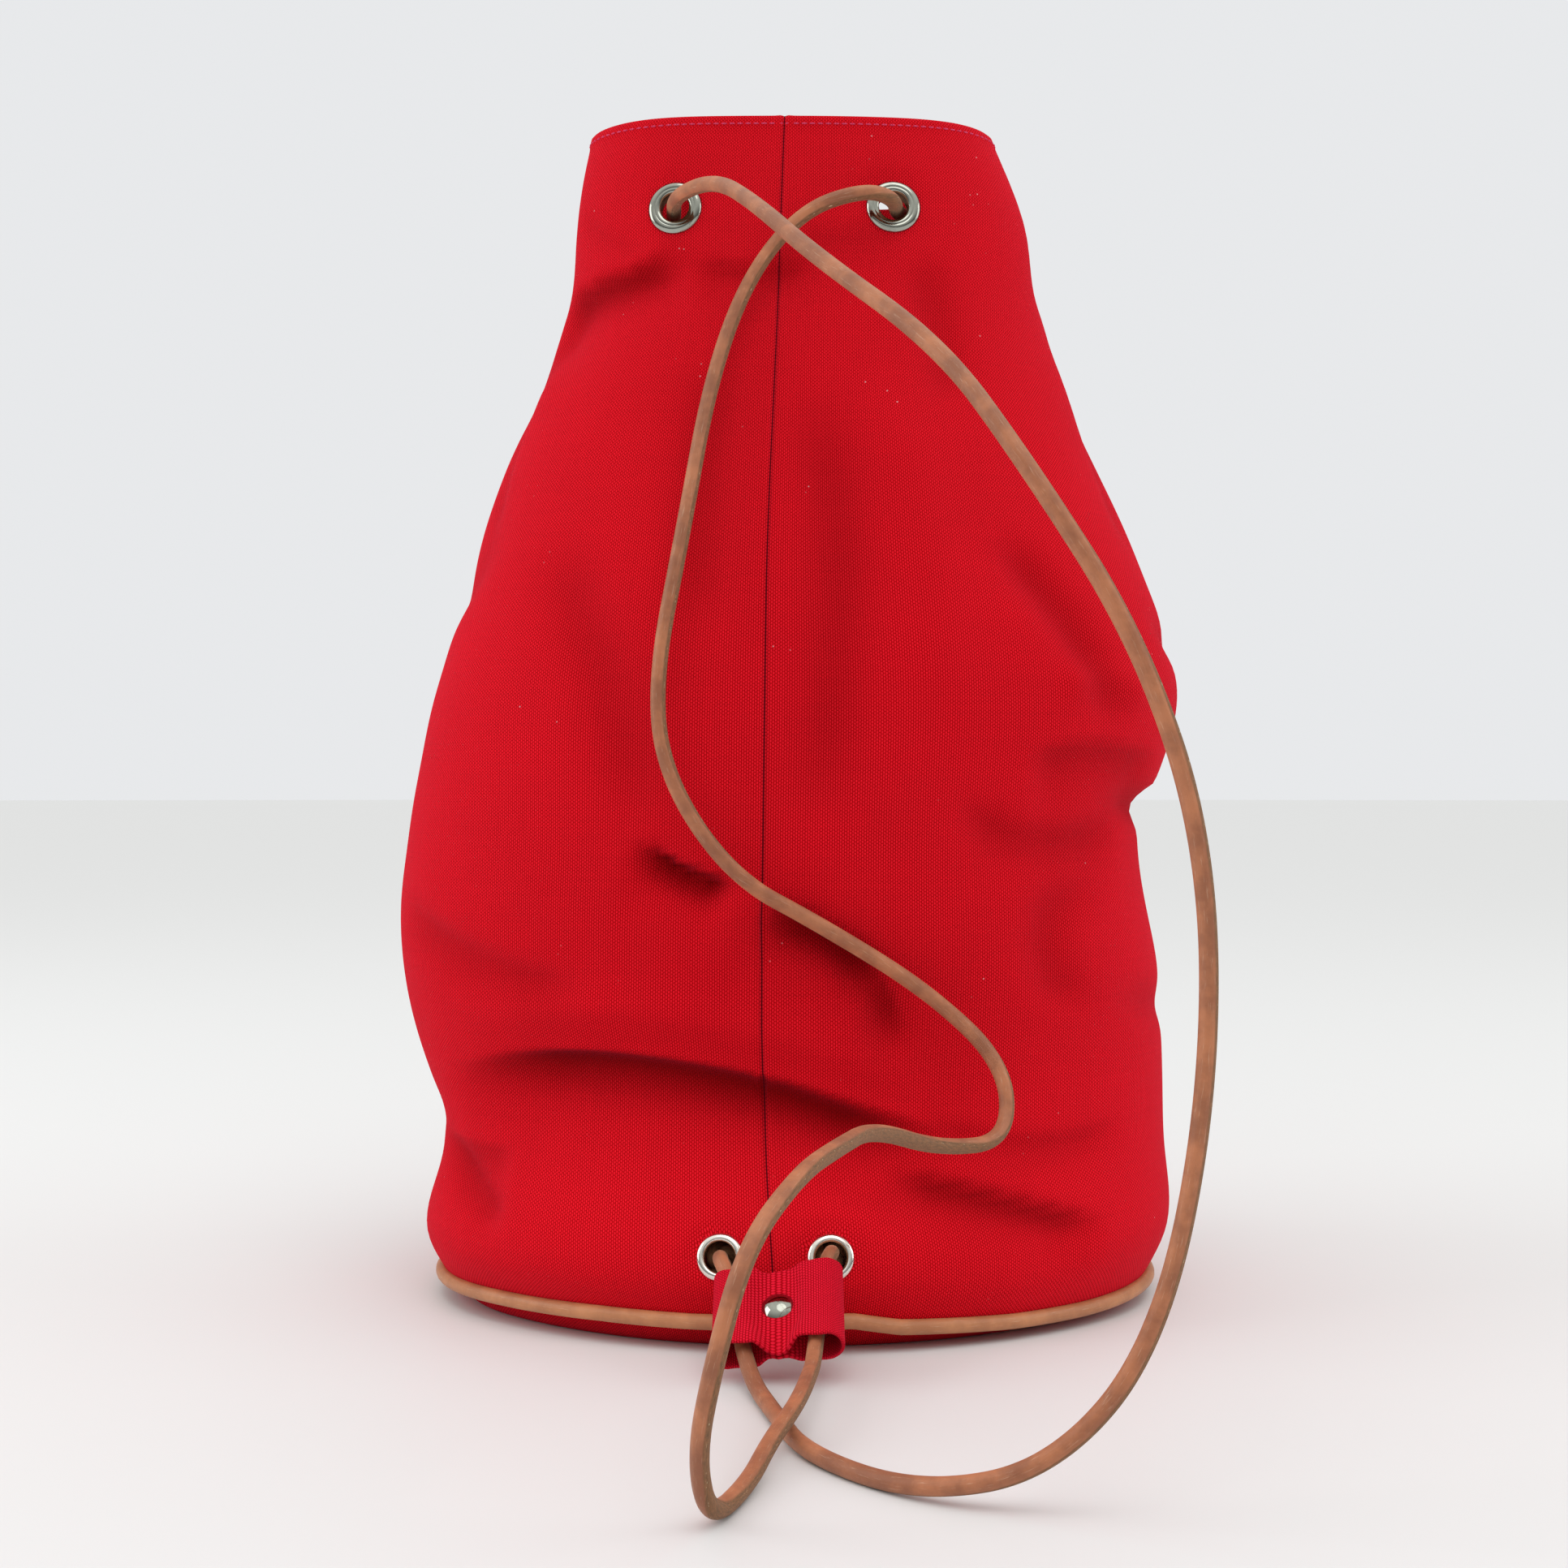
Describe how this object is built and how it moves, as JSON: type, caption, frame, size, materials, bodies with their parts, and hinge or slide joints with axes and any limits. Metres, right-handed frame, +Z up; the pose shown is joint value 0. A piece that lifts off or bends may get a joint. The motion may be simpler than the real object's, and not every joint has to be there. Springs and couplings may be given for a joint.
{
  "type": "stuff sack",
  "caption": "Standing canvas drawstring sack with a piped oval base, a leather cord through eyelets round its pleated mouth, and a riveted canvas keeper on the cord.",
  "frame": {"origin": "on the floor under the middle of the resting base", "axes": "+Z up to the mouth; -Y towards the strap side, where the seam, the keeper and the front eyelets are; +X to the right seen from that side"},
  "size_m": [0.2805, 0.3754, 0.407],
  "materials": {
    "canvas": "crimson cotton canvas, matte",
    "tape": "crimson woven seam tape, matte",
    "keeper_canvas": "crimson canvas, folded and stitched",
    "cord_leather": "natural tan round leather, suede on one side",
    "piping_leather": "smooth tan leather, satin",
    "piping_core": "twisted cotton cord",
    "nickel": "polished nickel plate",
    "strap_nickel": "polished nickel plate"
  },
  "bodies": {
    "sack": {"sack_body": "canvas", "mouth_facing": "canvas", "seam_tape": "tape", "base_panel": "canvas", "base_edge": "canvas", "base_seam_tape": "tape", "piping_cover": "piping_leather", "piping_core": "piping_core", "drawcord": "cord_leather", "knot_left": "cord_leather", "knot_right": "cord_leather", "eyelet_front_left_barrel": "nickel", "eyelet_front_left_washer": "nickel", "eyelet_front_right_barrel": "nickel", "eyelet_front_right_washer": "nickel", "eyelet_left_front_barrel": "nickel", "eyelet_left_front_washer": "nickel", "eyelet_left_back_barrel": "nickel", "eyelet_left_back_washer": "nickel", "eyelet_right_front_barrel": "nickel", "eyelet_right_front_washer": "nickel", "eyelet_right_back_barrel": "nickel", "eyelet_right_back_washer": "nickel", "eyelet_back_left_barrel": "nickel", "eyelet_back_left_washer": "nickel", "eyelet_back_right_barrel": "nickel", "eyelet_back_right_washer": "nickel", "strap_eyelet_left_barrel": "strap_nickel", "strap_eyelet_left_washer": "strap_nickel", "strap_eyelet_right_barrel": "strap_nickel", "strap_eyelet_right_washer": "strap_nickel"},
    "keeper": {"keeper_sleeve": "keeper_canvas", "keeper_rivet_cap": "nickel", "keeper_rivet_post": "nickel"}
  },
  "joints": [
    {"name": "keeper_slide", "type": "slide", "parent": "sack", "child": "keeper", "axis": [0, -0.8387, -0.5446], "range_m": [0, 0.004]}
  ]
}
